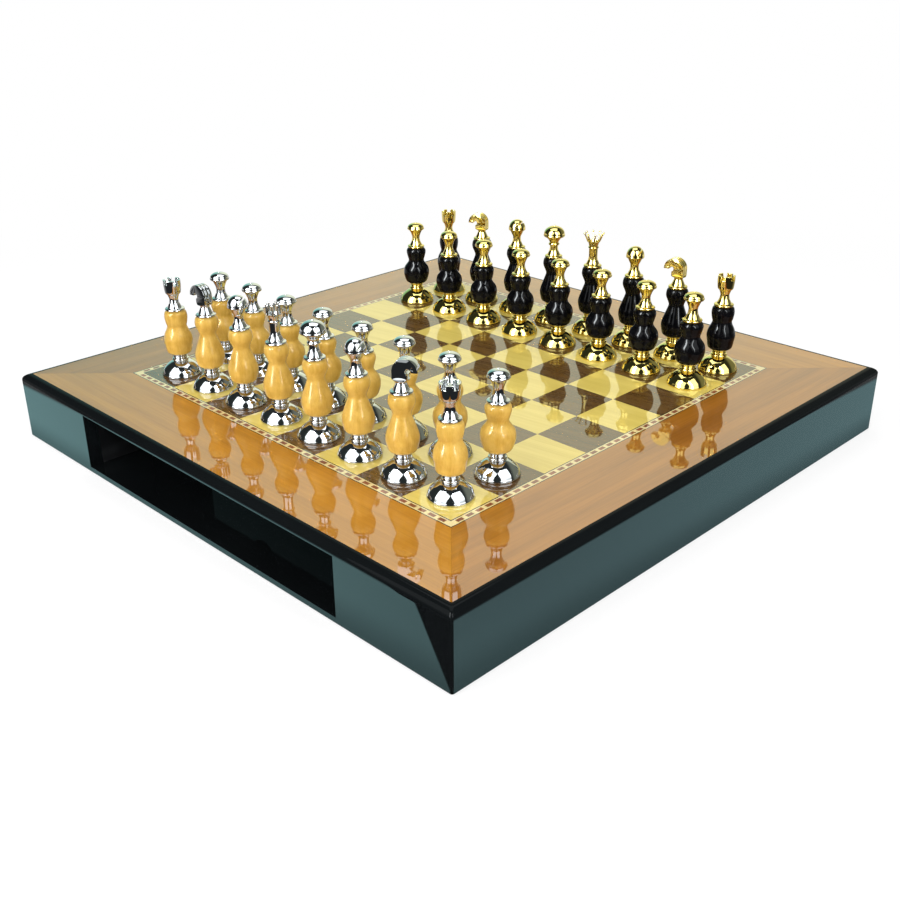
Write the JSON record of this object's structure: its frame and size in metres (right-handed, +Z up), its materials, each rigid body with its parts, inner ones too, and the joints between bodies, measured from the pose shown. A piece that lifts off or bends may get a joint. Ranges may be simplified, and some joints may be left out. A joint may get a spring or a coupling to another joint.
{
  "type": "chess box with drawers",
  "caption": "Square lacquered chess box with a marquetry board on top, a storage drawer in each of two opposite sides, and turned wood and metal chessmen set out for play.",
  "frame": {"origin": "middle of the underside of the case, on the table", "axes": "+Z up; -Y towards the side with the open drawer bay, where the silver and honey set stands; +X towards that player's right"},
  "size_m": [0.45, 0.45, 0.1308],
  "materials": {
    "black_lacquer": "high-gloss lacquer",
    "black_paint": "satin paint",
    "drawer_wood": "satin stain",
    "honey_veneer": "high-gloss lacquer",
    "dark_string": "high-gloss lacquer",
    "mosaic_maple": "high-gloss lacquer",
    "mosaic_redwood": "high-gloss lacquer",
    "maple": "high-gloss lacquer",
    "walnut": "high-gloss lacquer",
    "felt": "felt",
    "silver_man": "gloss lacquer, chrome-plated base and head",
    "gold_man": "gloss lacquer, gold-plated base and head"
  },
  "bodies": {
    "case": {"top_board": "black_lacquer", "border_veneers": "honey_veneer", "string_lines": "dark_string", "mosaic_band": "mosaic_maple", "mosaic_tiles": "mosaic_redwood", "light_squares": "maple", "dark_squares": "walnut", "case_left": "black_lacquer", "case_right": "black_lacquer", "case_front": "black_lacquer", "case_back": "black_lacquer", "base_panel": "black_lacquer", "bay_walls": "black_paint", "centre_stop": "black_paint", "base_felt": "felt"},
    "front_drawer": {"front_drawer_front": "black_lacquer", "front_drawer_sides": "drawer_wood", "front_drawer_rear": "drawer_wood", "front_drawer_floor": "drawer_wood", "front_drawer_divider": "drawer_wood", "front_drawer_lining": "felt"},
    "back_drawer": {"back_drawer_front": "black_lacquer", "back_drawer_sides": "drawer_wood", "back_drawer_rear": "drawer_wood", "back_drawer_floor": "drawer_wood", "back_drawer_divider": "drawer_wood", "back_drawer_lining": "felt"},
    "silver_rook_a": {"silver_rook_a": "silver_man"},
    "silver_knight_b": {"silver_knight_b": "silver_man"},
    "silver_bishop_c": {"silver_bishop_c": "silver_man"},
    "silver_queen_d": {"silver_queen_d": "silver_man"},
    "silver_king_e": {"silver_king_e": "silver_man"},
    "silver_bishop_f": {"silver_bishop_f": "silver_man"},
    "silver_knight_g": {"silver_knight_g": "silver_man"},
    "silver_rook_h": {"silver_rook_h": "silver_man"},
    "silver_pawn_a": {"silver_pawn_a": "silver_man"},
    "silver_pawn_b": {"silver_pawn_b": "silver_man"},
    "silver_pawn_c": {"silver_pawn_c": "silver_man"},
    "silver_pawn_d": {"silver_pawn_d": "silver_man"},
    "silver_pawn_e": {"silver_pawn_e": "silver_man"},
    "silver_pawn_f": {"silver_pawn_f": "silver_man"},
    "silver_pawn_g": {"silver_pawn_g": "silver_man"},
    "silver_pawn_h": {"silver_pawn_h": "silver_man"},
    "gold_pawn_a": {"gold_pawn_a": "gold_man"},
    "gold_pawn_b": {"gold_pawn_b": "gold_man"},
    "gold_pawn_c": {"gold_pawn_c": "gold_man"},
    "gold_pawn_d": {"gold_pawn_d": "gold_man"},
    "gold_pawn_e": {"gold_pawn_e": "gold_man"},
    "gold_pawn_f": {"gold_pawn_f": "gold_man"},
    "gold_pawn_g": {"gold_pawn_g": "gold_man"},
    "gold_pawn_h": {"gold_pawn_h": "gold_man"},
    "gold_rook_a": {"gold_rook_a": "gold_man"},
    "gold_knight_b": {"gold_knight_b": "gold_man"},
    "gold_bishop_c": {"gold_bishop_c": "gold_man"},
    "gold_king_d": {"gold_king_d": "gold_man"},
    "gold_queen_e": {"gold_queen_e": "gold_man"},
    "gold_bishop_f": {"gold_bishop_f": "gold_man"},
    "gold_knight_g": {"gold_knight_g": "gold_man"},
    "gold_rook_h": {"gold_rook_h": "gold_man"}
  },
  "joints": [
    {"name": "back_drawer_slide", "type": "slide", "parent": "case", "child": "back_drawer", "axis": [0, 1, 0], "range_m": [-0.047, 0.13]},
    {"name": "front_drawer_slide", "type": "slide", "parent": "case", "child": "front_drawer", "axis": [0, -1, 0], "range_m": [0, 0.177]},
    {"name": "lift_silver_rook_a", "type": "slide", "parent": "case", "child": "silver_rook_a", "axis": [0, 0, 1], "range_m": [0, 0.1]},
    {"name": "lift_silver_knight_b", "type": "slide", "parent": "case", "child": "silver_knight_b", "axis": [0, 0, 1], "range_m": [0, 0.1]},
    {"name": "lift_silver_bishop_c", "type": "slide", "parent": "case", "child": "silver_bishop_c", "axis": [0, 0, 1], "range_m": [0, 0.1]},
    {"name": "lift_silver_queen_d", "type": "slide", "parent": "case", "child": "silver_queen_d", "axis": [0, 0, 1], "range_m": [0, 0.1]},
    {"name": "lift_silver_king_e", "type": "slide", "parent": "case", "child": "silver_king_e", "axis": [0, 0, 1], "range_m": [0, 0.1]},
    {"name": "lift_silver_bishop_f", "type": "slide", "parent": "case", "child": "silver_bishop_f", "axis": [0, 0, 1], "range_m": [0, 0.1]},
    {"name": "lift_silver_knight_g", "type": "slide", "parent": "case", "child": "silver_knight_g", "axis": [0, 0, 1], "range_m": [0, 0.1]},
    {"name": "lift_silver_rook_h", "type": "slide", "parent": "case", "child": "silver_rook_h", "axis": [0, 0, 1], "range_m": [0, 0.1]},
    {"name": "lift_silver_pawn_a", "type": "slide", "parent": "case", "child": "silver_pawn_a", "axis": [0, 0, 1], "range_m": [0, 0.1]},
    {"name": "lift_silver_pawn_b", "type": "slide", "parent": "case", "child": "silver_pawn_b", "axis": [0, 0, 1], "range_m": [0, 0.1]},
    {"name": "lift_silver_pawn_c", "type": "slide", "parent": "case", "child": "silver_pawn_c", "axis": [0, 0, 1], "range_m": [0, 0.1]},
    {"name": "lift_silver_pawn_d", "type": "slide", "parent": "case", "child": "silver_pawn_d", "axis": [0, 0, 1], "range_m": [0, 0.1]},
    {"name": "lift_silver_pawn_e", "type": "slide", "parent": "case", "child": "silver_pawn_e", "axis": [0, 0, 1], "range_m": [0, 0.1]},
    {"name": "lift_silver_pawn_f", "type": "slide", "parent": "case", "child": "silver_pawn_f", "axis": [0, 0, 1], "range_m": [0, 0.1]},
    {"name": "lift_silver_pawn_g", "type": "slide", "parent": "case", "child": "silver_pawn_g", "axis": [0, 0, 1], "range_m": [0, 0.1]},
    {"name": "lift_silver_pawn_h", "type": "slide", "parent": "case", "child": "silver_pawn_h", "axis": [0, 0, 1], "range_m": [0, 0.1]},
    {"name": "lift_gold_pawn_a", "type": "slide", "parent": "case", "child": "gold_pawn_a", "axis": [0, 0, 1], "range_m": [0, 0.1]},
    {"name": "lift_gold_pawn_b", "type": "slide", "parent": "case", "child": "gold_pawn_b", "axis": [0, 0, 1], "range_m": [0, 0.1]},
    {"name": "lift_gold_pawn_c", "type": "slide", "parent": "case", "child": "gold_pawn_c", "axis": [0, 0, 1], "range_m": [0, 0.1]},
    {"name": "lift_gold_pawn_d", "type": "slide", "parent": "case", "child": "gold_pawn_d", "axis": [0, 0, 1], "range_m": [0, 0.1]},
    {"name": "lift_gold_pawn_e", "type": "slide", "parent": "case", "child": "gold_pawn_e", "axis": [0, 0, 1], "range_m": [0, 0.1]},
    {"name": "lift_gold_pawn_f", "type": "slide", "parent": "case", "child": "gold_pawn_f", "axis": [0, 0, 1], "range_m": [0, 0.1]},
    {"name": "lift_gold_pawn_g", "type": "slide", "parent": "case", "child": "gold_pawn_g", "axis": [0, 0, 1], "range_m": [0, 0.1]},
    {"name": "lift_gold_pawn_h", "type": "slide", "parent": "case", "child": "gold_pawn_h", "axis": [0, 0, 1], "range_m": [0, 0.1]},
    {"name": "lift_gold_rook_a", "type": "slide", "parent": "case", "child": "gold_rook_a", "axis": [0, 0, 1], "range_m": [0, 0.1]},
    {"name": "lift_gold_knight_b", "type": "slide", "parent": "case", "child": "gold_knight_b", "axis": [0, 0, 1], "range_m": [0, 0.1]},
    {"name": "lift_gold_bishop_c", "type": "slide", "parent": "case", "child": "gold_bishop_c", "axis": [0, 0, 1], "range_m": [0, 0.1]},
    {"name": "lift_gold_king_d", "type": "slide", "parent": "case", "child": "gold_king_d", "axis": [0, 0, 1], "range_m": [0, 0.1]},
    {"name": "lift_gold_queen_e", "type": "slide", "parent": "case", "child": "gold_queen_e", "axis": [0, 0, 1], "range_m": [0, 0.1]},
    {"name": "lift_gold_bishop_f", "type": "slide", "parent": "case", "child": "gold_bishop_f", "axis": [0, 0, 1], "range_m": [0, 0.1]},
    {"name": "lift_gold_knight_g", "type": "slide", "parent": "case", "child": "gold_knight_g", "axis": [0, 0, 1], "range_m": [0, 0.1]},
    {"name": "lift_gold_rook_h", "type": "slide", "parent": "case", "child": "gold_rook_h", "axis": [0, 0, 1], "range_m": [0, 0.1]}
  ]
}
